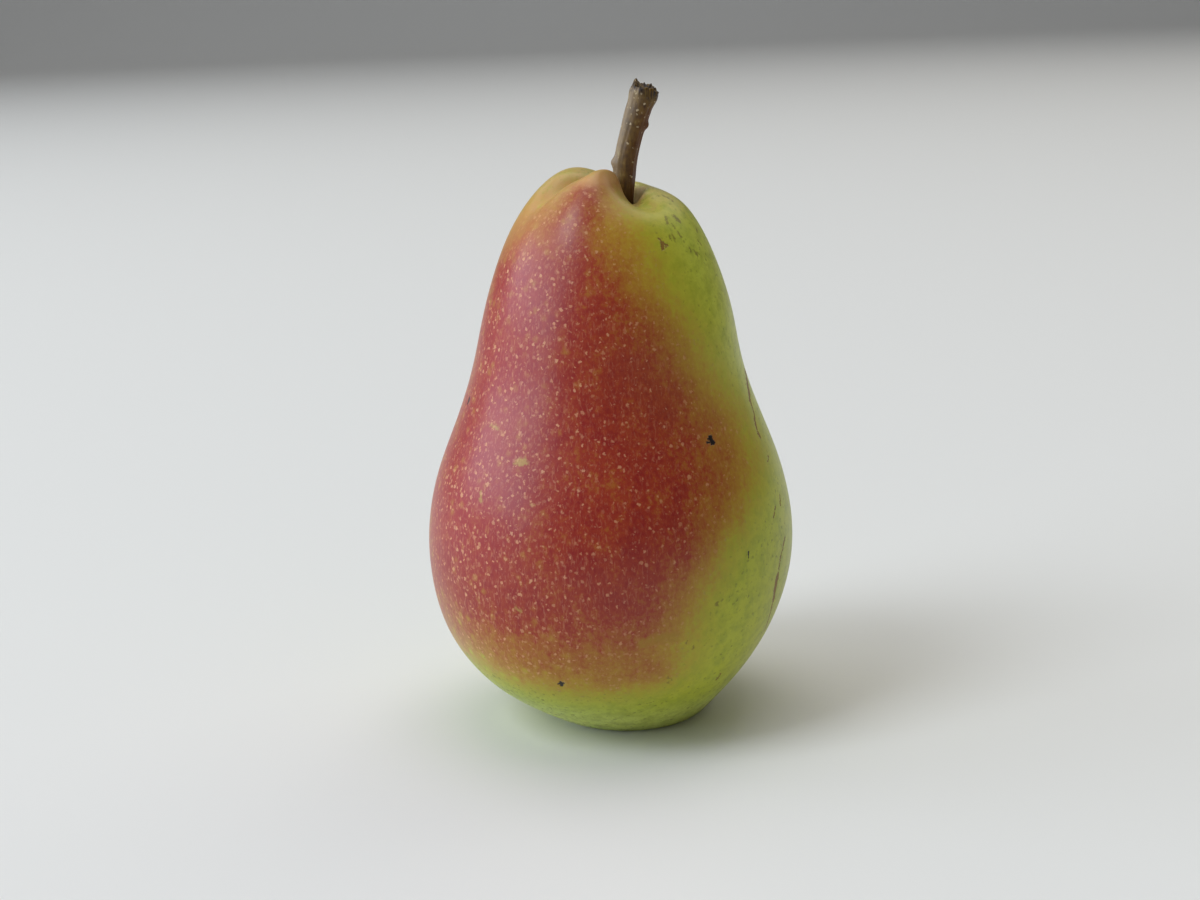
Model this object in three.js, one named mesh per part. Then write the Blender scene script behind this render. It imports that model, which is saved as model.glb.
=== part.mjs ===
// A ripe blushed pear standing on the flat spot round its eye, with its woody
// stem. Millimetres, +Z up. The origin is under the middle of the fruit, at the
// height of the surface that it stands on. The open side of the stem's hollow
// faces -Y and +X. Angles round the fruit are degrees from +X, seen from above
// anticlockwise, so that the front is at -90.

import * as THREE from "three";

// Driving dimensions
const STEM_ROOT_RADIUS = 1.7;
const STEM_GAP = 0.3;
const STEM_HOLE_DEPTH = 6;
const STEM_X = 4.9;
const STEM_Y = 0.5;
const EYE_X = 4.0;
const EYE_GAP = 0.4;
const SEPAL_COUNT = 5;
const SEPAL_REACH = 4.6;
const SEPAL_THICKNESS = 0.9;

// Mesh counts
const SKIN_COLUMNS = 84;
const SKIN_ROWS = 46;
const STEM_COLUMNS = 20;
const STEM_ROWS = 26;
const CALYX_COLUMNS = 40;

// The fruit's profile, as the control points of a smooth curve from the eye's
// floor, over the flat spot, the belly, the neck and the crown, down to the rim
// of the stem's hole. Each is [radius, height, sideways place of the centre].
const PROFILE = [
  [0.0, 5.2, EYE_X],
  [3.2, 5.2, EYE_X],
  [6.2, 3.2, EYE_X],
  [8.8, 0.2, 3.7],
  [13.1, -0.9, 3.3],
  [17.0, 2.0, 1.8],
  [25.4, 8.6, -0.5],
  [31.5, 17.6, -0.5],
  [34.1, 28.0, 0.0],
  [34.3, 38.0, 0.05],
  [32.1, 48.0, 0.15],
  [27.9, 57.5, 0.55],
  [24.6, 67.0, 0.75],
  [23.1, 76.0, 1.25],
  [20.3, 85.0, 1.15],
  [17.1, 92.8, 1.15],
  [12.8, 98.8, 1.85],
  [7.7, 101.9, 2.5],
  [4.4, 100.0, 4.4],
  [2.6, 97.0, STEM_X],
  [STEM_ROOT_RADIUS + STEM_GAP, 95.0, STEM_X],
];
const PROFILE_END = PROFILE.length - 1;

// Soft unevenness of the crown. Each swelling is
// [height, angle round the fruit, angular width, place along the profile, its width].
const SWELLINGS = [
  [0.35, -105, 43, 16.4, 0.9],
  [3.3, -108.7, 17.5, 18.8, 2.25],
  [1.5, 149, 40, 16.9, 1.5],
  [-2.4, 18, 59, 16.9, 1.5],
  [-2.9, 199.5, 14.5, 17.1, 1.6],
  [-4.75, -55, 33.8, 17.2, 1.5],
  [-2.8, 84, 17, 17.0, 1.3],
];

// Gentle ribs that run up from the flat spot and die out on the belly.
const RIB_COUNT = 5;
const RIB_HEIGHT = 0.25;
const RIB_ANGLE = 20;

// The stem's centre line and its radius at places between 0 (root) and 1 (broken end).
const STEM_LINE = [
  [STEM_X, STEM_Y, 89.4],
  [STEM_X, STEM_Y, 96.5],
  [5.3, 0.35, 103.0],
  [6.9, 0.0, 109.5],
  [9.4, -0.83, 116.4],
];
const STEM_RADII = [
  [0.0, 1.7],
  [0.27, 1.7],
  [0.45, 1.92],
  [0.7, 2.02],
  [0.88, 2.25],
  [0.96, 2.6],
  [1.0, 2.45],
];

// Buds and the splinter: [height, angle, angular width, place along the stem, its width].
const STEM_BUDS = [
  [0.55, 180, 45, 0.5, 0.03],
  [0.5, 0, 40, 0.775, 0.028],
  [0.25, -70, 30, 0.62, 0.03],
  [0.3, 110, 35, 0.84, 0.03],
];
const SPLINTERS = [
  [1.0, 172, 22],
  [0.3, -70, 25],
  [0.35, 60, 30],
  [-0.35, 225, 25],
  [-0.5, 5, 40],
];

function bell(x, centre, width) {
  const d = (x - centre) / width;
  return Math.exp(-d * d);
}

function bellAround(degrees, centre, width) {
  const away = ((((degrees - centre + 180) % 360) + 360) % 360) - 180;
  return bell(away, 0, width);
}

// One number of the profile at place t, by a uniform cubic B-spline. The curve
// starts on the first point, mirrored in the axis, and ends on the last one.
function alongProfile(t, which) {
  const span = Math.min(Math.floor(t), PROFILE_END - 1);
  const u = t - span;
  const at = (i) => {
    if (i < 0) return (which === 0 ? -1 : 1) * PROFILE[1][which];
    if (i > PROFILE_END) return 2 * PROFILE[PROFILE_END][which] - PROFILE[PROFILE_END - 1][which];
    return PROFILE[i][which];
  };
  const w0 = (1 - u) ** 3;
  const w1 = 3 * u ** 3 - 6 * u ** 2 + 4;
  const w2 = -3 * u ** 3 + 3 * u ** 2 + 3 * u + 1;
  const w3 = u ** 3;
  return (w0 * at(span - 1) + w1 * at(span) + w2 * at(span + 1) + w3 * at(span + 2)) / 6;
}

// A value read off a list of [place, value] pairs with smooth steps between them.
function smoothBetween(pairs, place) {
  let value = pairs[0][1];
  for (let i = 1; i < pairs.length; i++) {
    const t = THREE.MathUtils.smoothstep(place, pairs[i - 1][0], pairs[i][0]);
    value += (pairs[i][1] - pairs[i - 1][1]) * t;
  }
  return value;
}

// A point of the fruit's skin. The lowest skin is pressed flat at height 0.
function skinPoint(t, degrees) {
  const angle = THREE.MathUtils.degToRad(degrees);
  const rib = RIB_HEIGHT * Math.cos(RIB_COUNT * THREE.MathUtils.degToRad(degrees - RIB_ANGLE));
  const radius = alongProfile(t, 0) + rib * bell(t, 6.5, 1.6);
  const level = 1 - THREE.MathUtils.smoothstep(t, PROFILE_END - 1.2, PROFILE_END - 0.1);
  let height = alongProfile(t, 1);
  for (const [rise, at, width, place, length] of SWELLINGS) {
    height += rise * bellAround(degrees, at, width) * bell(t, place, length) * level;
  }
  const x = alongProfile(t, 2) + radius * Math.cos(angle);
  const y = STEM_Y * THREE.MathUtils.smoothstep(t, 15, 20) + radius * Math.sin(angle);
  return new THREE.Vector3(x, y, Math.max(height, 0));
}

// A closed mesh through rings of points that run anticlockwise round the
// shape's way up, with one point that closes each end.
function closedSkin(firstPole, rings, lastPole) {
  const columns = rings[0].length;
  const points = [firstPole, ...rings.flat(), lastPole];
  const last = points.length - 1;
  const faces = [];
  for (let j = 0; j < columns; j++) {
    const k = (j + 1) % columns;
    faces.push(0, 1 + k, 1 + j);
    for (let i = 0; i < rings.length - 1; i++) {
      const low = 1 + i * columns;
      const high = low + columns;
      faces.push(low + j, low + k, high + k);
      faces.push(low + j, high + k, high + j);
    }
    faces.push(last - columns + j, last - columns + k, last);
  }
  const geometry = new THREE.BufferGeometry().setFromPoints(points);
  geometry.setIndex(faces);
  geometry.computeVertexNormals();
  return geometry;
}

function ringOf(columns, pointAt) {
  return Array.from({ length: columns }, (_, j) => pointAt((360 * j) / columns));
}

// The fruit, with a straight round hole for the stem's root at the bottom of the hollow.
function fruitGeometry() {
  const rings = [];
  for (let i = 1; i <= SKIN_ROWS; i++) {
    const t = (PROFILE_END * i) / SKIN_ROWS;
    rings.push(ringOf(SKIN_COLUMNS, (degrees) => skinPoint(t, degrees)));
  }
  const holeFloor = PROFILE[PROFILE_END][1] - STEM_HOLE_DEPTH;
  const rim = rings[rings.length - 1];
  rings.push(rim.map((point) => new THREE.Vector3(point.x, point.y, holeFloor)));
  const eye = new THREE.Vector3(EYE_X, 0, alongProfile(0, 1));
  return closedSkin(eye, rings, new THREE.Vector3(STEM_X, STEM_Y, holeFloor));
}

// The stem: a bent round rod that widens to its broken end, with bud scars on
// its sides and a splinter left standing at the rim.
function stemGeometry() {
  const line = new THREE.CatmullRomCurve3(STEM_LINE.map((p) => new THREE.Vector3(...p)));
  const ringAt = (place, shrink, lift) => {
    const centre = line.getPointAt(place);
    const way = line.getTangentAt(place);
    const right = new THREE.Vector3(1, 0, 0).addScaledVector(way, -way.x).normalize();
    const back = new THREE.Vector3().crossVectors(way, right);
    return ringOf(STEM_COLUMNS, (degrees) => {
      const angle = THREE.MathUtils.degToRad(degrees);
      let radius = smoothBetween(STEM_RADII, place);
      for (const [rise, at, width, along, length] of STEM_BUDS) {
        radius += rise * bellAround(degrees, at, width) * bell(place, along, length);
      }
      let up = lift;
      for (const [rise, at, width] of SPLINTERS) {
        up += lift > 0 ? rise * bellAround(degrees, at, width) : 0;
      }
      return centre
        .clone()
        .addScaledVector(right, radius * shrink * Math.cos(angle))
        .addScaledVector(back, radius * shrink * Math.sin(angle))
        .addScaledVector(way, up);
    });
  };
  const rings = [];
  for (let i = 0; i <= STEM_ROWS; i++) {
    rings.push(ringAt(i / STEM_ROWS, 1, 0));
  }
  rings.push(ringAt(1, 0.86, 0.35));
  rings.push(ringAt(1, 0.6, 0.1));
  const end = line.getPointAt(1).addScaledVector(line.getTangentAt(1), -0.25);
  return closedSkin(line.getPointAt(0), rings, end);
}

// The dried calyx in the eye: pointed sepals that spread from a small disc and
// follow the eye's floor, curling a little away from it at their tips.
function calyxGeometry() {
  const reachAt = (degrees) => {
    const wave = 0.5 + 0.5 * Math.cos(THREE.MathUtils.degToRad(SEPAL_COUNT * degrees));
    return SEPAL_REACH * (0.42 + 0.58 * wave ** 1.4);
  };
  const floorAt = (radius) => {
    let t = 0;
    while (t < 4 && alongProfile(t, 0) < radius) t += 0.02;
    return alongProfile(t, 1);
  };
  const sheet = (share, drop) =>
    ringOf(CALYX_COLUMNS, (degrees) => {
      const radius = share * reachAt(degrees);
      const angle = THREE.MathUtils.degToRad(degrees);
      const curl = 0.035 * radius * radius;
      const height = floorAt(radius) - EYE_GAP - drop - curl;
      return new THREE.Vector3(EYE_X + radius * Math.cos(angle), radius * Math.sin(angle), height);
    });
  const rings = [
    sheet(0.3, SEPAL_THICKNESS * 1.1),
    sheet(0.6, SEPAL_THICKNESS * 1.3),
    sheet(0.85, SEPAL_THICKNESS),
    sheet(1.0, SEPAL_THICKNESS * 0.5),
    sheet(0.85, 0),
    sheet(0.45, 0),
  ];
  const heightAtCentre = alongProfile(0, 1) - EYE_GAP;
  const under = new THREE.Vector3(EYE_X, 0, heightAtCentre - SEPAL_THICKNESS);
  const over = new THREE.Vector3(EYE_X, 0, heightAtCentre);
  return closedSkin(under, rings, over);
}

function namedMesh(name, geometry, colour, roughness) {
  const material = new THREE.MeshStandardMaterial({ color: colour, roughness, metalness: 0 });
  const mesh = new THREE.Mesh(geometry, material);
  mesh.name = name;
  return mesh;
}

const pear = new THREE.Group();
pear.add(namedMesh("pear_body", fruitGeometry(), "#a8733f", 0.45));
pear.add(namedMesh("stem", stemGeometry(), "#6b5334", 0.7));
pear.add(namedMesh("calyx", calyxGeometry(), "#4a3828", 0.85));

export default pear;
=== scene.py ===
"""A ripe blushed pear with its bent woody stem, standing on a pale studio floor.

The fruit, the stem and the dried calyx are surfaces worked out with numpy, each a formula
of a place along the piece and an angle round it. Sizes are in millimetres until a mesh is
made. Angles are degrees from +X, anticlockwise seen from above, so the front is at -90.
"""
import math
from functools import partial

import bpy
import numpy as np
from mathutils import Matrix, Vector


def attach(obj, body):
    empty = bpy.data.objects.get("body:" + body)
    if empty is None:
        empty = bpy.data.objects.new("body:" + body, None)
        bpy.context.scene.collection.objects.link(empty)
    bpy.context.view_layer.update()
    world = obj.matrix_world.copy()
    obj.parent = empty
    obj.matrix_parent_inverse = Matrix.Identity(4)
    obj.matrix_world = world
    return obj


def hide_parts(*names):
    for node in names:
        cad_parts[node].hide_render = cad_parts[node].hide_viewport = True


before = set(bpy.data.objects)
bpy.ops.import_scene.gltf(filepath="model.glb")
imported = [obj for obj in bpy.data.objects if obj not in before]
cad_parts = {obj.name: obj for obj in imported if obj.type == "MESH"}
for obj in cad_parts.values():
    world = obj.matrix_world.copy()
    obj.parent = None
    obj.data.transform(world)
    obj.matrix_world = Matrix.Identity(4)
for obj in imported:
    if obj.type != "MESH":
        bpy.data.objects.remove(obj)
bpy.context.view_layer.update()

MM = 0.001

# Driving sizes of the fruit, the same as in the solids.
STEM_ROOT_RADIUS = 1.7
STEM_GAP = 0.3
STEM_HOLE_DEPTH = 6.0
STEM_X = 4.9
STEM_Y = 0.5
EYE_X = 4.0
EYE_GAP = 0.4
SEPAL_COUNT = 5
SEPAL_REACH = 4.6
SEPAL_THICKNESS = 0.9

# The profile's control points: radius, height, sideways place of the centre.
PROFILE = np.array([
    (0.0, 5.2, EYE_X), (3.2, 5.2, EYE_X), (6.2, 3.2, EYE_X), (8.8, 0.2, 3.7),
    (13.1, -0.9, 3.3), (17.0, 2.0, 1.8), (25.4, 8.6, -0.5), (31.5, 17.6, -0.5),
    (34.1, 28.0, 0.0), (34.3, 38.0, 0.05), (32.1, 48.0, 0.15), (27.9, 57.5, 0.55),
    (24.6, 67.0, 0.75), (23.1, 76.0, 1.25), (20.3, 85.0, 1.15), (17.1, 92.8, 1.15),
    (12.8, 98.8, 1.85), (7.7, 101.9, 2.5), (4.4, 100.0, 4.4), (2.6, 97.0, STEM_X),
    (STEM_ROOT_RADIUS + STEM_GAP, 95.0, STEM_X),
])
PROFILE_END = len(PROFILE) - 1

# The crown's lobes and folds: height, angle, angular width, place on the profile, its width.
SWELLINGS = [
    (0.35, -105, 43, 16.4, 0.9),
    (3.3, -108.7, 17.5, 18.8, 2.25),
    (1.5, 149, 40, 16.9, 1.5),
    (-2.4, 18, 59, 16.9, 1.5),
    (-2.9, 199.5, 14.5, 17.1, 1.6),
    (-4.75, -55, 33.8, 17.2, 1.5),
    (-2.8, 84, 17, 17.0, 1.3),
]

# Ribs of the foot: their number, height, the angle of one, place on the profile, its width.
RIB_COUNT = 5
RIB_HEIGHT = 0.25
RIB_ANGLE = 20
RIB_PLACE = 6.5
RIB_SPREAD = 1.6

# Height of the slow waves in the fruit's radius.
WAVE_HEIGHT = 0.07

# The flesh's lip round the stem: its length on the profile, and its share of the radius.
LIP_LENGTH = 0.9
LIP_SHRINK = 0.85

# Where the outer skin starts and ends on the profile.
OUTER_SKIN = (4.5, 16.9)

# The blush's edge on the right side: height, angle at its middle, half its width.
BLUSH_EDGE = np.array([
    (8, -72, 22), (20, -70, 21), (28, -69, 18), (36, -62, 20), (44, -51, 27), (52, -39, 35),
    (60, -39, 33), (68, -47, 30), (76, -57, 31), (84, -70, 35), (92, -74, 40), (99, -79, 40),
])
# Its edge on the back: angle at its middle, half its width. On the neck it turns forward.
BLUSH_BACK_EDGE = (-202, 50)
BLUSH_BACK_TURN = 14

# Angles of the side in full sun and of the crown's front lobe.
SUNNY_SIDE = -145
FRONT_LOBE = -105

# The stem's centre line, and its radius at places from 0 at the root's foot to 1 at the end.
STEM_LINE = [
    (STEM_X, STEM_Y, 89.4), (STEM_X, STEM_Y, 96.5), (5.3, 0.35, 103.0),
    (6.9, 0.0, 109.5), (9.4, -0.83, 116.4),
]
STEM_ROOT_TOP = 0.27
STEM_RADII = [
    (0.0, STEM_ROOT_RADIUS), (STEM_ROOT_TOP, STEM_ROOT_RADIUS), (0.45, 2.02), (0.7, 2.08),
    (0.88, 2.25), (0.96, 2.6), (1.0, 2.45),
]
# Bud scars: height, angle, angular width, place along the stem, and length there.
STEM_BUDS = [
    (0.55, 180, 45, 0.5, 0.03),
    (0.5, 0, 40, 0.775, 0.028),
    (0.25, -70, 30, 0.62, 0.03),
    (0.3, 110, 35, 0.84, 0.03),
]
# Splinters of the broken end: height, angle, angular width.
SPLINTERS = [(0.72, 172, 26), (0.3, -70, 25), (0.35, 60, 30), (-0.35, 225, 25), (-0.5, 5, 40)]
# Rings that close the broken end: share of the radius, lift, share of the splinters' height.
END_RINGS = [
    (0.97, 0.2, 0.8), (0.9, 0.35, 1.0), (0.78, 0.25, 0.9), (0.6, 0.0, 0.45),
    (0.35, -0.3, 0.1), (0.12, -0.4, 0.0),
]
# Depth of the furrows along the stem.
FURROW_DEPTH = 0.045

# Rings of the sepals' under face and rim: share of the reach, share of the thickness.
SEPAL_UNDER = [
    (0.15, 1.0), (0.3, 1.1), (0.45, 1.25), (0.6, 1.3), (0.75, 1.15), (0.88, 0.95),
    (0.96, 0.75), (1.0, 0.5),
]
# Rings of their upper face: share of the reach.
SEPAL_UPPER = (0.95, 0.8, 0.6, 0.4, 0.2)

# Marks on the skin: a line of (angle, height) points and half its width, faint below 0.
RUBS = [
    ([(-124.2, 55.0), (-119.5, 55.1)], 0.05),
    ([(-123.0, 55.5), (-120.8, 55.5)], 0.1),
    ([(-136.0, 49.3), (-135.2, 48.0)], 0.0),
    ([(-140.0, 60.3), (-136.0, 59.9)], 0.0),
    ([(-119.6, 30.5), (-118.2, 30.0)], 0.0),
    ([(-115.8, 48.8), (-114.4, 48.5)], -0.2),
    ([(-35.2, 96.7), (-40.2, 96.2), (-49.0, 95.8)], 0.15),
]
SMEAR = [([(-81.0, 24.0), (-76.0, 24.8), (-71.0, 24.6)], 0.4)]
SCARS = [
    ([(-7.5, 65.0), (-13.0, 63.1)], 0.55),
    ([(-13.0, 63.1), (-17.5, 60.8)], 0.45),
    ([(-17.5, 60.8), (-18.0, 58.7), (-22.0, 56.1), (-21.5, 54.4)], 0.22),
    ([(-0.5, 52.1), (-0.8, 50.2)], 0.1),
    ([(-20.2, 51.0), (-23.0, 50.2)], 0.05),
    ([(-21.5, 43.9), (-22.4, 42.1)], 0.08),
    ([(-27.2, 42.5), (-29.8, 41.0)], 0.08),
    ([(-22.5, 36.1), (-26.5, 33.0), (-28.2, 29.8)], 0.15),
    ([(-28.0, 29.8), (-28.4, 27.5)], 0.6),
    ([(-28.4, 27.5), (-28.0, 25.1)], 0.4),
    ([(-28.0, 25.1), (-28.0, 24.0), (-26.0, 18.6)], 0.12),
    ([(-48.5, 12.4), (-48.0, 13.7)], 0.08),
    ([(-56.5, 90.8), (-57.0, 89.9)], 0.3),
    ([(-57.8, 91.5), (-56.5, 90.8), (-53.8, 90.3)], 0.12),
]
SPOTS = [
    ([(-17.5, 97.6), (-17.8, 97.3), (-18.5, 96.7)], 0.1),
    ([(-44.2, 94.6), (-45.8, 93.7)], 0.15),
    ([(-36.0, 94.6), (-34.5, 93.7)], 0.2),
    ([(-42.0, 93.1), (-42.2, 92.6)], 0.05),
    ([(-46.5, 91.7), (-46.2, 91.0)], 0.15),
    ([(-41.0, 91.8), (-40.2, 91.3)], 0.15),
    ([(-18.2, 91.8), (-19.5, 91.3)], 0.1),
    ([(-24.0, 89.8), (-23.0, 89.3)], 0.1),
    ([(-36.8, 89.1), (-36.5, 88.5)], 0.1),
    ([(-33.2, 88.5), (-31.5, 87.8)], 0.15),
    ([(-49.2, 91.6), (-49.2, 91.2)], 0.05),
    ([(-64.5, 21.8), (-64.5, 21.6)], 0.1),
    ([(-57.9, 29.5), (-57.7, 29.3)], 0.2),
    ([(-71.5, 16.2), (-70.0, 15.3)], 0.0),
    ([(-71.0, 15.0), (-70.4, 14.6)], 0.0),
    ([(-67.0, 23.3), (-67.0, 23.1)], 0.0),
]
SPECKS = [
    ([(-51.8, 57.5), (-51.2, 56.8)], 0.4),
    ([(-53.4, 57.0), (-52.6, 56.8)], 0.05),
    ([(-109.0, 15.7), (-107.2, 15.9)], 0.15),
    ([(-108.2, 15.3), (-107.9, 15.9)], 0.25),
    ([(-44.9, 37.2), (-45.0, 36.2)], 0.08),
    ([(-164.8, 62.8), (-164.8, 62.2)], 0.3),
]

# Where the photograph was taken from, in millimetres and degrees, and its lens.
CAMERA_PLACE = (-1.257, -325.462, 133.489)
CAMERA_PITCH = 14.3
CAMERA_ROLL = -2.3
CAMERA_LENS = 54.06
SENSOR_WIDTH = 36.0

# Soft lights: name, azimuth, elevation, width and height in metres, watts, colour.
LIGHTS = [
    ("windows", -174, 19, (3.6, 1.0), 49.0, "#deedff"),
    ("sky_left", -152, 49, (1.2, 1.3), 37.0, "#eef6ff"),
    ("sky_behind", -215, 42, (2.6, 1.2), 10.0, "#f4faff"),
    ("ceiling", 80, 80, (2.5, 2.5), 36.0, "#fffdf8"),
    ("pale_wall", 45, 40, (2.2, 1.5), 9.0, "#fffaf0"),
]
LIGHT_DISTANCE = 3.0
LIGHT_TARGET = (0, 0, 0.055)
ROOM_LIGHT = 0.14

# Recurring node settings. A Mix node's colour sockets go by number, as their names repeat.
UNDER, OVER = 6, 7
COLOUR_MIX = {"data_type": "RGBA", "output": 2}
SMOOTH = {"interpolation_type": "SMOOTHSTEP"}


def linear(hexcode):
    """A colour written as sRGB hex, as the linear red, green, blue and alpha of a socket."""
    parts = [int(hexcode[i : i + 2], 16) / 255 for i in (1, 3, 5)]
    return (*[p / 12.92 if p <= 0.04045 else ((p + 0.055) / 1.055) ** 2.4 for p in parts], 1.0)


def smoothstep(low, high, x):
    """0 below low, 1 above high, and 3s^2 - 2s^3 of the share s between them."""
    share = np.clip((x - low) / (high - low), 0, 1)
    return share * share * (3 - 2 * share)


def bell(x, centre, width):
    """A bell curve: e to the minus square of the distance from centre over width."""
    return np.exp(-(((x - centre) / width) ** 2))


def bell_around(angle, centre, width):
    """The bell curve of an angle, in degrees, taken the short way round."""
    return bell((angle - centre + 180) % 360 - 180, 0, width)


def spline(points, t):
    """A uniform cubic B-spline through control points, with a mirrored first and last span."""
    first = points[1] * np.array([-1] + [1] * (points.shape[1] - 1))
    held = np.vstack([first, points, 2 * points[-1] - points[-2]])
    t = np.clip(t, 0, len(points) - 1 - 1e-9)
    k = np.floor(t).astype(int)
    u = (t - k)[..., None]
    weights = ((1 - u) ** 3, 3 * u**3 - 6 * u**2 + 4, -3 * u**3 + 3 * u**2 + 3 * u + 1, u**3)
    return sum(w * held[k + i] for i, w in enumerate(weights)) / 6


def smooth_between(pairs, place):
    """Values listed at places, joined by smooth steps."""
    value = np.full_like(place, pairs[0][1])
    for (p0, v0), (p1, v1) in zip(pairs, pairs[1:]):
        value = value + (v1 - v0) * smoothstep(p0, p1, place)
    return value


def skin_points(t, angle):
    """The fruit's skin at place t on the profile and an angle round it.

    The profile's spline gives radius, height and centre. Five ribs widen the foot, each
    swelling lifts or sinks the crown by a bell in both directions, slow waves of a tenth
    of a millimetre unsettle the radius, and the lowest skin is pressed flat at height 0.
    """
    radius, height, centre = np.moveaxis(spline(PROFILE, t), -1, 0)
    turn = np.radians(angle)
    ribs = np.cos(RIB_COUNT * (turn - math.radians(RIB_ANGLE)))
    radius = radius + RIB_HEIGHT * ribs * bell(t, RIB_PLACE, RIB_SPREAD)
    waves = np.sin(3 * turn + 0.9 * t)
    waves = waves + 0.7 * np.sin(5 * turn - 1.3 * t + 2) + 0.5 * np.sin(8 * turn + 2.1 * t + 4)
    radius = radius + WAVE_HEIGHT * waves * smoothstep(5, 7, t) * (1 - smoothstep(15, 17, t))

    # Swellings fade out at the stem's hole.
    level = 1 - smoothstep(PROFILE_END - 1.2, PROFILE_END - 0.1, t)
    for rise, at, width, place, length in SWELLINGS:
        height = height + rise * bell_around(angle, at, width) * bell(t, place, length) * level
    x = centre + radius * np.cos(turn)
    y = STEM_Y * smoothstep(15, 20, t) + radius * np.sin(turn)
    return np.stack([x, y, np.maximum(height, 0)], -1)


def on_skin(angle, height):
    """The point of the outer skin at an angle and a height, in metres."""
    t = np.linspace(*OUTER_SKIN, 3000)
    points = skin_points(t, np.full_like(t, angle))
    return Vector(points[np.argmin(abs(points[:, 2] - height))] * MM)


def blush_at(height, angle):
    """How red the skin is, 0 to 1: a smooth step across the blush's edge on the right,
    another on the back, faded out above the foot and softened on the crown, and one small
    bell of blush low in front."""
    turned = (angle - 90) % 360 - 270
    middle = np.interp(height, BLUSH_EDGE[:, 0], BLUSH_EDGE[:, 1])
    half = np.interp(height, BLUSH_EDGE[:, 0], BLUSH_EDGE[:, 2])
    right = 1 - smoothstep(middle - half, middle + half, turned)
    middle, half = BLUSH_BACK_EDGE
    middle = middle + BLUSH_BACK_TURN * smoothstep(70, 95, height)
    back = smoothstep(middle - half, middle + half, turned)

    # Above the foot the edge is 11 mm wide, and 2.5 mm higher on the sunny side.
    edge = 8 + 2.5 * bell_around(angle, SUNNY_SIDE, 30)
    foot = 0.65 * smoothstep(edge, edge + 11, height) + 0.35 * smoothstep(16, 33, height)

    # The crown is half as red, apart from its front lobe, and its brim less still.
    crown = 1 - (0.5 - 0.5 * bell_around(angle, -107, 20)) * smoothstep(86, 101, height)
    crown = crown * (1 - 0.7 * smoothstep(100.5, 103, height))
    low_patch = 0.25 * bell_around(angle, -77, 8) * bell(height, 17.5, 2.5)
    return 0.9 * right * back * foot * crown + low_patch


def skin_zones(t, angle, height):
    """How strongly each zone of colour shows, 0 to 1. Each is a product of bells round the
    fruit and smooth steps up it or along the profile, or the strongest of several."""
    # Pink is painted over the blush on the left side, 22 to 98 mm up, where the windows' highlight
    # band lies: a painted sheen of their reflection.
    left = bell_around(angle, -143, 30)
    middle = smoothstep(22, 45, height) * (1 - smoothstep(90, 98, height))
    # The lowest skin, up to 10 mm, is lightened below by painted bounce light from the floor.
    lowest = 1 - smoothstep(3, 10, height)

    # Tan brown on the left shoulder, on the crown but for its front lobe, in the hollow and
    # on top of the front lobe.
    shoulder = 0.65 * smoothstep(84, 97, height) * bell_around(angle, -172, 42)
    crown = 0.3 * smoothstep(92, 98, height) * (1 - bell_around(angle, FRONT_LOBE, 20))
    crown = crown + 0.3 * smoothstep(99, 102, height)
    hollow = 0.55 * smoothstep(16.8, 18.4, t)
    front_lobe = 0.85 * bell_around(angle, FRONT_LOBE, 30) * smoothstep(99.5, 101.5, height)

    # Greyed on the crown's right and back, and pale on the neck's right side.
    crown_right = 0.6 * bell_around(angle, 25, 70) * smoothstep(15.2, 17.0, t)
    crown_back = 0.35 * bell_around(angle, 150, 60) * smoothstep(97, 100, height)
    neck = smoothstep(52, 72, height) * (1 - smoothstep(90, 97, height))
    neck_right = 0.3 * neck * bell_around(angle, -5, 45)
    return {
        "blush": blush_at(height, angle),
        "dappled": bell_around(angle, SUNNY_SIDE, 45),
        "painted_pink_sheen": 0.34 * left * middle,
        "tanned": np.maximum.reduce([shoulder, crown, hollow, front_lobe]),
        "faded": np.maximum(crown_right, crown_back),
        "russet": np.maximum(smoothstep(17.2, 19.0, t), 1 - smoothstep(2.0, 3.6, t)),
        "unripe": (1 - smoothstep(3, 15, height)) * (0.3 + 0.7 * bell_around(angle, -140, 45)),
        # The foot's pale tone is painted bounce light; the neck's right side is paler skin.
        "painted_bounce_and_pale_neck": np.maximum(0.85 * lowest, neck_right),
    }


def closed_skin(name, first_pole, rings, last_pole, values=None):
    """A closed mesh through a (rows, columns, 3) array of points in millimetres, whose rows
    run anticlockwise round the shape's way up, with a fan of triangles to a pole at each end.
    values are numbers for each point, poles included, kept as attributes."""
    rows, columns = rings.shape[:2]
    points = np.vstack([first_pole, rings.reshape(-1, 3), last_pole]) * MM
    across = np.arange(columns)
    after = (across + 1) % columns
    low = 1 + np.arange(rows - 1)[:, None] * columns
    high = low + columns
    sides = np.stack([low + across, low + after, high + after, high + across], -1)
    last = 1 + rows * columns
    start = np.stack([np.zeros_like(across), 1 + after, 1 + across], -1)
    top = last - columns
    end = np.stack([top + across, top + after, np.full_like(across, last)], -1)
    mesh = bpy.data.meshes.new(name)
    mesh.from_pydata(points, [], [*start.tolist(), *sides.reshape(-1, 4).tolist(), *end.tolist()])
    mesh.shade_smooth()
    for label, numbers in (values or {}).items():
        attribute = mesh.attributes.new(label, "FLOAT", "POINT")
        attribute.data.foreach_set("value", numbers.astype(np.float32))
    piece = bpy.data.objects.new(name, mesh)
    bpy.context.scene.collection.objects.link(piece)
    return piece


def set_inputs(tree, node, inputs):
    """Gives a node's inputs their values, by socket name or number. An output is linked."""
    for key, value in inputs.items():
        if isinstance(value, bpy.types.NodeSocket):
            tree.links.new(value, node.inputs[key])
        else:
            node.inputs[key].default_value = value


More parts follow.
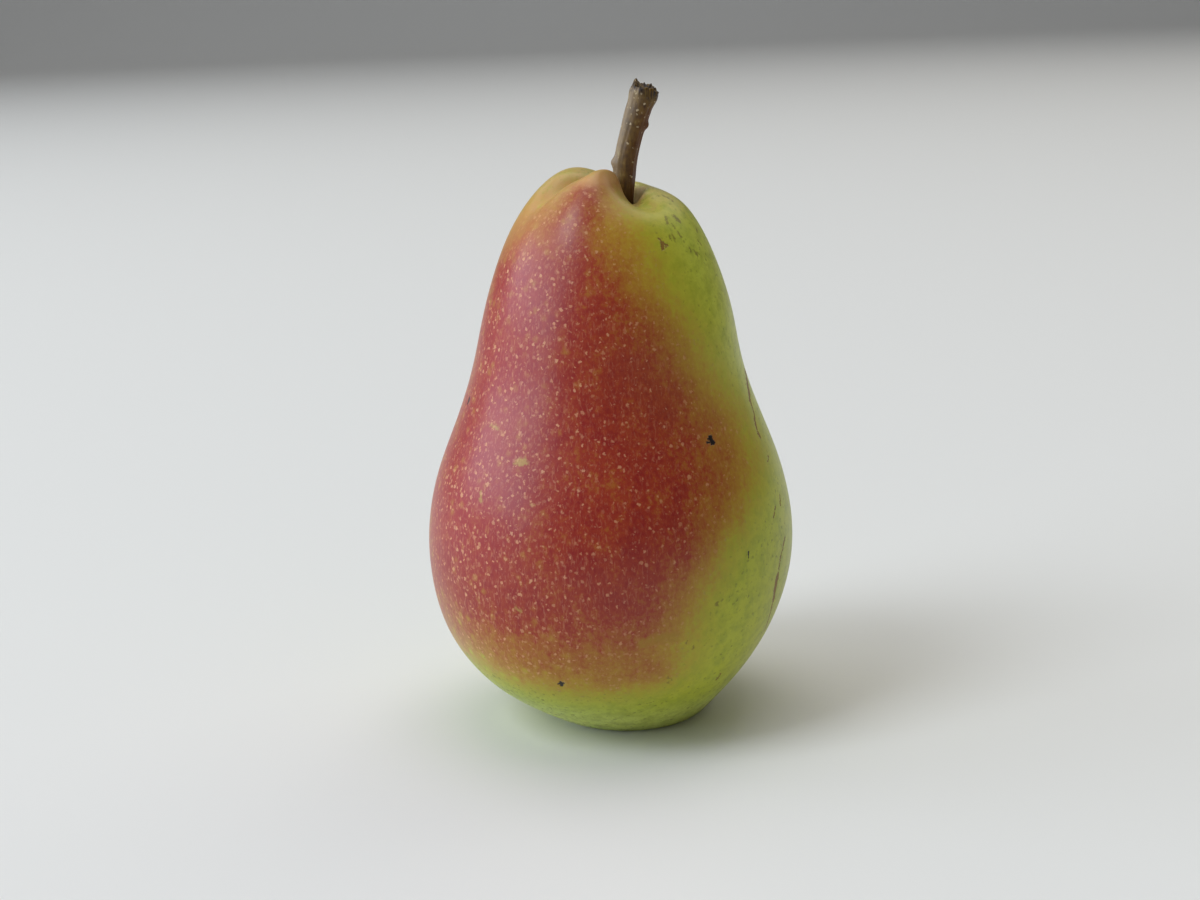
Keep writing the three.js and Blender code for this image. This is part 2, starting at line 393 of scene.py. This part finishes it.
def add_node(tree, kind, inputs=None, stops=None, **settings):
    """Adds one node and returns its first output. settings are its properties, inputs are
    values or outputs to link, stops are a ramp's places and colours, and output names
    another output to return."""
    output = settings.pop("output", 0)
    node = tree.nodes.new("ShaderNode" + kind)
    for key, value in settings.items():
        setattr(node, key, value)
    set_inputs(tree, node, inputs or {})
    if stops:
        elements = node.color_ramp.elements
        while len(elements) < len(stops):
            elements.new(1.0)
        for element, (place, colour) in zip(elements, stops):
            element.position = place
            element.color = linear(colour)
    return node.outputs[output]


def new_material(name):
    """An empty node material, the function that adds a node to it, the function that sets
    its surface shader's inputs, and the object's own coordinates."""
    material = bpy.data.materials.new(name)
    material.use_nodes = True
    tree = material.node_tree
    add = partial(add_node, tree)
    shade = partial(set_inputs, tree, tree.nodes["Principled BSDF"])
    return material, add, shade, add("TexCoord", output="Object")


def mark_mask(add, place, line, half_width, softness):
    """1 within half_width of a line of (angle, height) points on the skin, fading to 0 over
    softness, both in millimetres.

    Each stretch from a to b: the nearest point is a + s(b - a), where s is the share
    (place - a).(b - a) / |b - a|^2 held between 0 and 1."""
    points = [on_skin(*point) for point in line]
    nearest = None
    for a, b in zip(points, points[1:]):
        along = b - a
        scaled = along / along.length_squared
        away = add("VectorMath", {0: place, 1: a}, operation="SUBTRACT")
        share = add("VectorMath", {0: away, 1: scaled}, operation="DOT_PRODUCT", output="Value")
        share = add("Clamp", {"Value": share})
        step = add("VectorMath", {0: along, "Scale": share}, operation="SCALE")
        gap = add("VectorMath", {0: away, 1: step}, operation="DISTANCE", output="Value")
        nearest = gap if nearest is None else add("Math", {0: nearest, 1: gap}, operation="MINIMUM")
    outer = (half_width + softness) * MM
    inner = half_width * MM
    return add("MapRange", {"Value": nearest, "From Min": outer, "From Max": inner}, **SMOOTH)


def marks_mask(add, place, marks, softness):
    """The strongest of several marks, each a line and half its width."""
    joined = 0.0
    for line, half_width in marks:
        mark = mark_mask(add, place, line, half_width, softness)
        joined = add("Math", {0: mark, 1: joined}, operation="MAXIMUM")
    return joined


def pear_skin():
    """Waxy pear skin: yellow green flesh tone under a red blush, with pale lenticels on the
    red and dark ones on the green. It gives the eye a soft satin sheen over mottled colour."""
    material, add, shade, place = new_material("waxy pear skin")
    names = ("blush", "dappled", "painted_pink_sheen", "tanned", "faded", "russet", "unripe", "painted_bounce_and_pale_neck")
    zone = {name: add("Attribute", attribute_name=name, output="Fac") for name in names}

    # Noises: coordinates, size in millimetres, detail, roughness.
    upright = add("Mapping", {"Vector": place, "Scale": (1, 1, 0.3)})
    noise = {}
    for name, coordinates, size, detail, roughness in (
        ("clouds", place, 7.0, 2.0, 0.5),
        ("streaks", upright, 2.2, 2.0, 0.6),
        ("mottle", place, 0.9, 3.0, 0.7),
        ("patches", place, 2.0, 3.0, 0.6),
        ("net", place, 1.1, 3.0, 0.7),
        ("pores", place, 0.45, 1.0, 0.5),
        ("waves", place, 4.0, 1.0, 0.5),
    ):
        noise[name] = add("TexNoise", {
            "Vector": coordinates, "Scale": 1 / (size * MM),
            "Detail": detail, "Roughness": roughness,
        })

    # Small yellow green halos, 3 mm apart, where the blush is dappled.
    halos = add("TexVoronoi", {"Vector": place, "Scale": 1 / (3.0 * MM)})
    halos = add("MapRange", {"Value": halos, "From Min": 0.38, "From Max": 0.0}, **SMOOTH)
    halos = add("Math", {0: halos, 1: zone["dappled"]}, operation="MULTIPLY")

    # Mottling, streaks that run up the fruit, clouds and halos break the blush up, but only
    # where there is some blush.
    uneven = -0.54
    for part, share in (
        (noise["mottle"], 0.5),
        (noise["streaks"], 0.3),
        (noise["clouds"], 0.28),
        (halos, -0.32),
    ):
        uneven = add("Math", {0: part, 1: share, 2: uneven}, operation="MULTIPLY_ADD")
    blushed = add("MapRange", {"Value": zone["blush"], "From Max": 0.35}, **SMOOTH)
    redness = add("Math", {0: uneven, 1: blushed, 2: zone["blush"]}, operation="MULTIPLY_ADD")
    # Painted highlight: the pink sheen of the windows' reflection on the left side, laid on only
    # where there is blush.
    painted_sheen = add("Math", {0: zone["painted_pink_sheen"], 1: blushed}, operation="MULTIPLY")

    # Darker green patches of 2 mm on the bare green.
    patches = add("MapRange", {
        "Value": noise["patches"], "From Min": 0.42, "From Max": 0.72, "To Max": 0.65,
    })
    bare = add("MapRange", {"Value": redness, "From Min": 0.4, "From Max": 0.0})
    patches = add("Math", {0: patches, 1: bare}, operation="MULTIPLY")

    # Lenticels: ragged dots 0.2 to 0.7 mm wide and 1 mm apart, pale on the blush and dark on
    # the green. Two chances for each dot set its size and how well it shows.
    grain = add("TexNoise", {
        "Vector": place, "Scale": 1 / (0.55 * MM), "Detail": 2.0,
    }, output="Color")
    grain = add("VectorMath", {0: grain, 1: (0.5, 0.5, 0.5)}, operation="SUBTRACT")
    ragged = add("VectorMath", {0: grain, 1: (0.9 * MM,) * 3, 2: place}, operation="MULTIPLY_ADD")
    cells = add("TexVoronoi", {"Vector": ragged, "Scale": 1 / (1.0 * MM)})
    chance = add("SeparateColor", {"Color": cells.node.outputs["Color"]})
    reach = add("Math", {0: chance, 1: 0.2, 2: 0.09}, operation="MULTIPLY_ADD")
    reach = add("Math", {0: zone["dappled"], 1: 0.065, 2: reach}, operation="MULTIPLY_ADD")
    dots = add("Math", {0: cells, 1: reach}, operation="SUBTRACT")
    dots = add("MapRange", {"Value": dots, "From Min": 0.1, "From Max": -0.06}, **SMOOTH)
    second_chance = chance.node.outputs["Green"]
    shown = add("MapRange", {"Value": second_chance, "To Min": 0.15, "To Max": 0.95})
    livelier = add("MapRange", {"Value": zone["dappled"], "To Min": 0.6, "To Max": 1.0})
    shown = add("Math", {0: shown, 1: livelier}, operation="MULTIPLY")
    dots = add("Math", {0: dots, 1: shown}, operation="MULTIPLY")
    dot_colour = add("ValToRGB", {"Fac": redness}, stops=[
        (0.0, "#666a0c"), (0.2, "#908a24"), (0.42, "#cb9c62"), (1.0, "#d99a74"),
    ])

    # Threads of 0.4 mm, as the cork of the smallest lenticels runs together.
    threads = add("TexNoise", {
        "Vector": upright, "Scale": 1 / (0.42 * MM),
        "Detail": 2.0, "Roughness": 0.7, "Distortion": 0.6,
    })
    threads = add("MapRange", {"Value": threads, "From Min": 0.52, "From Max": 0.75, "To Max": 0.5})
    denser = add("MapRange", {"Value": zone["dappled"], "To Min": 0.4, "To Max": 1.0})
    threads = add("Math", {0: threads, 1: denser}, operation="MULTIPLY")

    # Marks: small rubs where the green shows through the blush, an olive smear low in front,
    # healed scratches, olive brown spots and dark specks. Noise of 0.9 mm tears their edges.
    torn = add("TexNoise", {
        "Vector": place, "Scale": 1 / (0.9 * MM), "Detail": 3.0, "Roughness": 0.65,
    }, output="Color")
    torn = add("VectorMath", {0: torn, 1: (0.5, 0.5, 0.5)}, operation="SUBTRACT")
    torn = add("VectorMath", {0: torn, 1: (1.7 * MM,) * 3, 2: place}, operation="MULTIPLY_ADD")
    rubs = marks_mask(add, torn, RUBS, 0.6)
    smear = marks_mask(add, torn, SMEAR, 1.1)
    patchy = add("MapRange", {"Value": noise["mottle"], "From Min": 0.3, "From Max": 0.55})
    smear = add("Math", {0: smear, 1: patchy}, operation="MULTIPLY")
    scars = marks_mask(add, torn, SCARS, 0.25)
    spots = marks_mask(add, torn, SPOTS, 0.4)
    specks = marks_mask(add, ragged, SPECKS, 0.25)

    # Russet, a corky brown net in the hollow of the stem and round the eye.
    net = add("Math", {0: noise["net"], 1: -0.62}, operation="ADD")
    cork = add("Math", {0: zone["russet"], 1: 0.75, 2: net}, operation="MULTIPLY_ADD")
    cork = add("MapRange", {"Value": cork, "From Max": 0.5}, **SMOOTH)

    # Colour, from green to red, with the layers that lie over it: mask, strength, tone.
    colour = add("ValToRGB", {"Fac": redness}, stops=[
        (0.0, "#b8be24"), (0.45, "#b08622"), (0.85, "#9b331a"), (1.0, "#8d1f18"),
    ])
    for mask, strength, tone in (
        (painted_sheen, 1.0, linear("#ba4656")),
        (zone["unripe"], 0.7, linear("#9cba5c")),
        # Painted bounce light on the foot, and the paler skin on the neck's right side.
        (zone["painted_bounce_and_pale_neck"], 1.0, linear("#d8e070")),
        (zone["tanned"], 1.0, linear("#cc975c")),
        (zone["faded"], 1.0, linear("#bba878")),
        (patches, 1.0, linear("#8f9a16")),
        (dots, 1.0, dot_colour),
        (threads, 1.0, dot_colour),
        (rubs, 0.65, linear("#b9a24e")),
        (smear, 0.85, linear("#a6801c")),
        (scars, 0.9, linear("#865c1e")),
        (spots, 0.65, linear("#64520a")),
        (specks, 1.0, linear("#1d130c")),
        (cork, 0.6, linear("#a17a44")),
    ):
        cover = add("Math", {0: mask, 1: strength}, operation="MULTIPLY")
        colour = add("Mix", {0: cover, UNDER: colour, OVER: tone}, **COLOUR_MIX)

    # Gloss: wax, duller on lenticels, cork and scars.
    rough = 0.36
    for part, share in ((dots, 0.1), (cork, 0.2), (scars, 0.15)):
        rough = add("Math", {0: part, 1: share, 2: rough}, operation="MULTIPLY_ADD")

    # Relief: a faint orange-peel wave, pores, raised dots, sunken scars and specks.
    relief = 0.0
    for part, share in (
        (noise["waves"], 0.9),
        (noise["pores"], 0.12),
        (dots, 0.22),
        (scars, -1.2),
        (specks, -1.2),
    ):
        relief = add("Math", {0: part, 1: share, 2: relief}, operation="MULTIPLY_ADD")
    bump = add("Bump", {"Height": relief, "Distance": 0.1 * MM, "Strength": 1.0})

    shade({
        "Base Color": colour, "Roughness": rough, "Normal": bump, "IOR": 1.41,
        "Subsurface Weight": 0.12, "Subsurface Radius": (1.0, 0.45, 0.2),
        "Subsurface Scale": 1.5 * MM, "Coat Weight": 0.12, "Coat Roughness": 0.3,
    })
    return material


def fruit():
    """The fruit: the skin's formula on a grid, then the flesh's lip drawn in to the stem."""
    rows, columns = 244, 380
    t = np.linspace(0, PROFILE_END, rows + 1)[1:, None] * np.ones(columns)
    angle = np.ones((rows, 1)) * np.arange(columns)[None, :] * 360 / columns
    rings = skin_points(t, angle)
    axis = np.array([STEM_X, STEM_Y, 0])
    lip = smoothstep(PROFILE_END - LIP_LENGTH, PROFILE_END, t)[..., None]
    drawn = axis + (rings - axis) * [LIP_SHRINK, LIP_SHRINK, 1]
    rings = rings + (drawn - rings) * lip
    bottom = rings[-1:] * [1, 1, 0] + [0, 0, PROFILE[-1][1] - STEM_HOLE_DEPTH]

    # The eye and the bottom of the stem's hole are all russet.
    values = {}
    for name, zone in skin_zones(t, angle, rings[..., 2]).items():
        hidden = float(name == "russet")
        values[name] = np.r_[hidden, zone.ravel(), np.full(columns + 1, hidden)]
    eye = (EYE_X, 0, spline(PROFILE, np.array(0.0))[1])
    hole_floor = (STEM_X, STEM_Y, bottom[0, 0, 2])
    piece = closed_skin("pear_fruit", eye, np.vstack([rings, bottom]), hole_floor, values)
    piece.data.materials.append(pear_skin())
    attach(piece, "root")
    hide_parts("pear_body")
    return piece


def between(start, end, u, a, b):
    """The straight mix of a, met at start, and b, met at end."""
    return (end - u) / (end - start) * a + (u - start) / (end - start) * b


def catmull_rom(points, places):
    """Points and directions at even shares of length on a centripetal Catmull-Rom curve."""
    points = np.array(points, float)
    held = np.vstack([2 * points[0] - points[1], points, 2 * points[-1] - points[-2]])
    fine = []
    for p0, p1, p2, p3 in zip(held, held[1:], held[2:], held[3:]):
        gaps = [np.linalg.norm(b - a) ** 0.5 for a, b in ((p0, p1), (p1, p2), (p2, p3))]
        k0, k1, k2, k3 = np.cumsum([0, *gaps])
        u = np.linspace(k1, k2, 200, endpoint=False)[:, None]
        a1 = between(k0, k1, u, p0, p1)
        a2 = between(k1, k2, u, p1, p2)
        a3 = between(k2, k3, u, p2, p3)
        b1 = between(k0, k2, u, a1, a2)
        b2 = between(k1, k3, u, a2, a3)
        fine.append(between(k1, k2, u, b1, b2))
    fine = np.vstack([*fine, points[-1:]])
    run = np.r_[0, np.cumsum(np.linalg.norm(np.diff(fine, axis=0), axis=1))]
    at = places * run[-1]
    curve = np.stack([np.interp(at, run, fine[:, i]) for i in range(3)], -1)
    way = np.stack([np.interp(at, run, np.gradient(fine[:, i], run)) for i in range(3)], -1)
    return curve, way / np.linalg.norm(way, axis=-1, keepdims=True)


def stem_bark():
    """Smooth woody pear stem: dark olive brown bark with a painted grey highlight on its lit left
    side and reddish on the right, with pale corky dots. It gives the eye a dull gloss on dark wood."""
    material, add, shade, place = new_material("woody stem bark")
    names = ("end", "root", "painted_highlight", "reddish")
    zone = {name: add("Attribute", attribute_name=name, output="Fac") for name in names}

    # Fibres half a millimetre wide and 3 mm long, along the stem, under patches of 1.6 mm.
    lean = (0, math.radians(-14), 0)
    turned = add("Mapping", {"Vector": place, "Rotation": lean, "Scale": (1, 1, 0.17)})
    fibres = add("TexNoise", {"Vector": turned, "Scale": 1 / (0.5 * MM), "Detail": 3.0})
    patches = add("TexNoise", {"Vector": place, "Scale": 1 / (1.6 * MM), "Detail": 3.0})
    mixed = add("Math", {0: patches, 1: 0.65}, operation="MULTIPLY")
    mixed = add("Math", {0: fibres, 1: 0.35, 2: mixed}, operation="MULTIPLY_ADD")

    # Ragged corky dots, up to 0.5 mm wide and 0.8 mm apart.
    grain = add("TexNoise", {
        "Vector": place, "Scale": 1 / (0.4 * MM), "Detail": 2.0,
    }, output="Color")
    ragged = add("VectorMath", {0: grain, 1: (0.5 * MM,) * 3, 2: place}, operation="MULTIPLY_ADD")
    cells = add("TexVoronoi", {"Vector": ragged, "Scale": 1 / (0.8 * MM)})
    chance = add("SeparateColor", {"Color": cells.node.outputs["Color"]}, output="Green")
    reach = add("Math", {0: chance, 1: 0.42, 2: -0.1}, operation="MULTIPLY_ADD")
    dots = add("Math", {0: cells, 1: reach}, operation="SUBTRACT")
    dots = add("MapRange", {
        "Value": dots, "From Min": 0.08, "From Max": -0.08, "To Max": 0.8,
    }, **SMOOTH)

    # Dark streaks between the fibres of the broken end.
    streaks = add("MapRange", {"Value": fibres, "From Min": 0.62, "From Max": 0.4})
    streaks = add("Math", {0: zone["end"], 1: streaks}, operation="MULTIPLY")

    # Colour, with the layers that lie over it: mask, strength, tone.
    colour = add("ValToRGB", {"Fac": mixed}, stops=[
        (0.3, "#301a06"), (0.44, "#583d10"), (0.56, "#73571d"), (0.7, "#a08f58"),
    ])
    for mask, strength, tone in (
        # The grey on the left is a painted highlight of the light from the left.
        (zone["reddish"], 1.0, "#64330a"),
        (zone["painted_highlight"], 1.0, "#a5937c"),
        (dots, 1.0, "#cdb894"),
        (streaks, 1.0, "#22140b"),
        (zone["root"], 0.6, "#2e1d0c"),
    ):
        cover = add("Math", {0: mask, 1: strength}, operation="MULTIPLY")
        colour = add("Mix", {0: cover, UNDER: colour, OVER: linear(tone)}, **COLOUR_MIX)

    # Gloss, uneven with the patches and duller on the dots, and relief.
    rough = add("MapRange", {"Value": patches, "To Min": 0.36, "To Max": 0.54})
    rough = add("Math", {0: dots, 1: 0.15, 2: rough}, operation="MULTIPLY_ADD")
    fine = add("TexNoise", {"Vector": place, "Scale": 1 / (0.3 * MM), "Detail": 2.0})
    relief = 0.0
    for part, share in ((fine, 0.25), (fibres, 0.6), (dots, 0.6)):
        relief = add("Math", {0: part, 1: share, 2: relief}, operation="MULTIPLY_ADD")
    bump = add("Bump", {"Height": relief, "Distance": 0.15 * MM, "Strength": 1.0})
    shade({"Base Color": colour, "Roughness": rough, "Normal": bump, "Specular IOR Level": 0.28})
    return material


def stem():
    """The stem: circles carried along its centre line, with radius by smooth steps, bud
    scars as bells, shallow furrows along it, and a ragged end with one splinter standing."""
    rows, columns = 170, 96
    place = np.linspace(0, 1, rows)
    curve, way = catmull_rom(STEM_LINE, place)
    right = np.array([1.0, 0, 0]) - way * way[:, :1]
    right /= np.linalg.norm(right, axis=-1, keepdims=True)
    back = np.cross(way, right)
    angle = np.arange(columns) * 360 / columns
    turn = np.radians(angle)
    side = right[:, None] * np.cos(turn)[:, None] + back[:, None] * np.sin(turn)[:, None]

    radius = smooth_between(STEM_RADII, place)[:, None] * np.ones(columns)
    for rise, at, width, along, length in STEM_BUDS:
        bud = bell_around(angle, at, width) * bell(place, along, length)[:, None]
        radius = radius + rise * bud
    furrows = np.sin(9 * turn + 6 * place[:, None])
    furrows = furrows + 0.6 * np.sin(17 * turn - 9 * place[:, None] + 1)
    above_root = smoothstep(STEM_ROOT_TOP, 0.36, place)[:, None]
    radius = radius + FURROW_DEPTH * furrows * above_root
    rings = curve[:, None] + side * radius[..., None]

    # The broken end, raised by its splinters and a fine unevenness.
    up = sum(rise * bell_around(angle, at, width) for rise, at, width in SPLINTERS)
    up = up + 0.12 * np.sin(11 * turn + 1) + 0.1 * np.sin(23 * turn)
    tip, tip_way, tip_side, tip_radius = curve[-1], way[-1], side[-1], radius[-1][:, None]
    caps = []
    for shrink, lift, share in END_RINGS:
        raised = tip_way * (lift + share * up)[:, None]
        caps.append(tip + tip_side * tip_radius * shrink + raised)
    rings = np.vstack([rings, caps])

    # Zones of colour: the broken end, the root, a painted grey highlight on the lit left side, and
    # the reddish side.
    along = np.r_[place, np.ones(len(caps))][:, None] * np.ones(columns)
    outside = np.r_[np.ones(rows), np.zeros(len(caps))][:, None]
    end = smoothstep(0.93, 1.0, along)
    root = 1 - smoothstep(0.24, 0.4, along)
    # Painted highlight: grey on the side that the windows light.
    painted_highlight = 0.65 * bell_around(angle, 200, 45) * smoothstep(0.3, 0.5, along) * outside
    reddish = 0.8 * bell_around(angle, -20, 55) * (1 - smoothstep(0.85, 0.95, along))
    values = {"end": np.r_[0, end.ravel(), 1], "root": np.r_[1, root.ravel(), 0]}
    values |= {"painted_highlight": np.r_[0, painted_highlight.ravel(), 0], "reddish": np.r_[0, reddish.ravel(), 0]}
    hollow = tip + END_RINGS[-1][1] * tip_way
    piece = closed_skin("pear_stem", curve[0], rings, hollow, values)
    piece.data.materials.append(stem_bark())
    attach(piece, "root")
    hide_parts("stem")
    return piece


def dried_sepal():
    """Dried sepals: thin, dead brown leaf tissue. It gives the eye a matt, crumpled brown."""
    material, add, shade, place = new_material("dried pear sepal")
    grain = add("TexNoise", {"Vector": place, "Scale": 1 / (0.6 * MM), "Detail": 3.0})
    colour = add("ValToRGB", {"Fac": grain}, stops=[
        (0.3, "#241910"), (0.55, "#4a3620"), (0.75, "#7a6240"),
    ])
    bump = add("Bump", {"Height": grain, "Distance": 0.2 * MM, "Strength": 1.0})
    rough = add("MapRange", {"Value": grain, "To Min": 0.95, "To Max": 0.7})
    shade({"Base Color": colour, "Roughness": rough, "Normal": bump})
    return material


def calyx():
    """The calyx: a star of five sepals. Its reach is a power of a cosine wave round it, its
    upper face lies a gap below the eye's floor, its tips curl away by a square law, and
    each sepal is folded along its middle."""
    columns = 200
    turn = np.radians(np.arange(columns) * 360 / columns)
    wave = 0.5 + 0.5 * np.cos(SEPAL_COUNT * turn)
    waist = 0.42
    reach = SEPAL_REACH * (waist + (1 - waist) * wave**1.4)
    floor_radius, floor_height = spline(PROFILE, np.linspace(0, 4, 400))[:, :2].T

    def ring(share, drop):
        """A ring at a share of the reach, a drop below the upper face."""
        radius = share * reach
        floor = np.interp(radius, floor_radius, floor_height)
        curl = 0.035 * radius**2
        fold = 0.18 * wave**6 * math.sin(math.pi * share)
        height = floor - EYE_GAP - drop - curl - fold
        return np.stack([EYE_X + radius * np.cos(turn), radius * np.sin(turn), height], -1)

    rings = [ring(share, SEPAL_THICKNESS * thickness) for share, thickness in SEPAL_UNDER]
    rings += [ring(share, 0.0) for share in SEPAL_UPPER]
    top = spline(PROFILE, np.array(0.0))[1] - EYE_GAP
    poles = (EYE_X, 0, top - SEPAL_THICKNESS), (EYE_X, 0, top)
    piece = closed_skin("pear_calyx", poles[0], np.stack(rings), poles[1])
    piece.data.materials.append(dried_sepal())
    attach(piece, "root")
    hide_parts("calyx")
    return piece


def studio_floor():
    """A pale matt floor that runs back and then sweeps up as a quarter circle and a wall. It
    lies a hair below the fruit. Sizes in metres."""
    half_width, front, back, sweep, wall, gap = 6.0, -5.0, 4.0, 2.0, 3.0, 0.02 * MM
    bend = np.radians(np.linspace(0, 90, 24))
    y = np.r_[front, back + sweep * np.sin(bend), back + sweep]
    z = np.r_[0.0, sweep - sweep * np.cos(bend), sweep + wall] - gap
    points = [(x, *line) for line in zip(y, z) for x in (-half_width, half_width)]
    low = np.arange(len(y) - 1)[:, None] * 2
    faces = low + np.array([[0, 1, 3, 2]])
    mesh = bpy.data.meshes.new("studio_floor")
    mesh.from_pydata(points, [], faces.tolist())
    mesh.shade_smooth()
    floor = bpy.data.objects.new("studio_floor", mesh)
    bpy.context.scene.collection.objects.link(floor)
    material, _, shade, _ = new_material("pale painted board")
    shade({"Base Color": linear("#e7e6e3"), "Roughness": 0.55})
    mesh.materials.append(material)


def camera():
    """The camera, placed, pitched and rolled as the photograph was taken."""
    data = bpy.data.cameras.new("camera")
    data.lens = CAMERA_LENS
    data.sensor_width = SENSOR_WIDTH
    data.clip_start = 0.01
    data.clip_end = 20.0
    view = bpy.data.objects.new("camera", data)
    tilt = Matrix.Rotation(math.radians(90 - CAMERA_PITCH), 4, "X")
    roll = Matrix.Rotation(math.radians(CAMERA_ROLL), 4, "Z")
    view.matrix_world = Matrix.Translation(Vector(CAMERA_PLACE) * MM) @ tilt @ roll
    bpy.context.scene.collection.objects.link(view)
    bpy.context.scene.camera = view


def soft_light(name, azimuth, elevation, size, power, colour):
    """A rectangular soft box that faces the middle of the fruit from an angle round it."""
    data = bpy.data.lights.new(name, "AREA")
    data.shape = "RECTANGLE"
    data.size, data.size_y = size
    data.energy = power
    data.color = linear(colour)[:3]
    lamp = bpy.data.objects.new(name, data)
    turn, rise = math.radians(azimuth), math.radians(elevation)
    level = math.cos(rise)
    way = Vector((math.cos(turn) * level, math.sin(turn) * level, math.sin(rise)))
    facing = way.to_track_quat("Z", "Y").to_matrix().to_4x4()
    lamp.matrix_world = Matrix.Translation(Vector(LIGHT_TARGET) + way * LIGHT_DISTANCE) @ facing
    bpy.context.scene.collection.objects.link(lamp)


def studio_light():
    """Windows all along the left, sky through their tops and behind, a pale ceiling, a pale
    wall at the back on the right, and a dim room all round."""
    for row in LIGHTS:
        soft_light(*row)
    world = bpy.data.worlds.new("room_light")
    world.use_nodes = True
    background = world.node_tree.nodes["Background"]
    background.inputs["Color"].default_value = linear("#ffffff")
    background.inputs["Strength"].default_value = ROOM_LIGHT
    bpy.context.scene.world = world
    bpy.context.scene.view_settings.view_transform = "Standard"
    bpy.context.scene.view_settings.look = "None"


camera()
studio_light()
studio_floor()
fruit()
stem()
calyx()
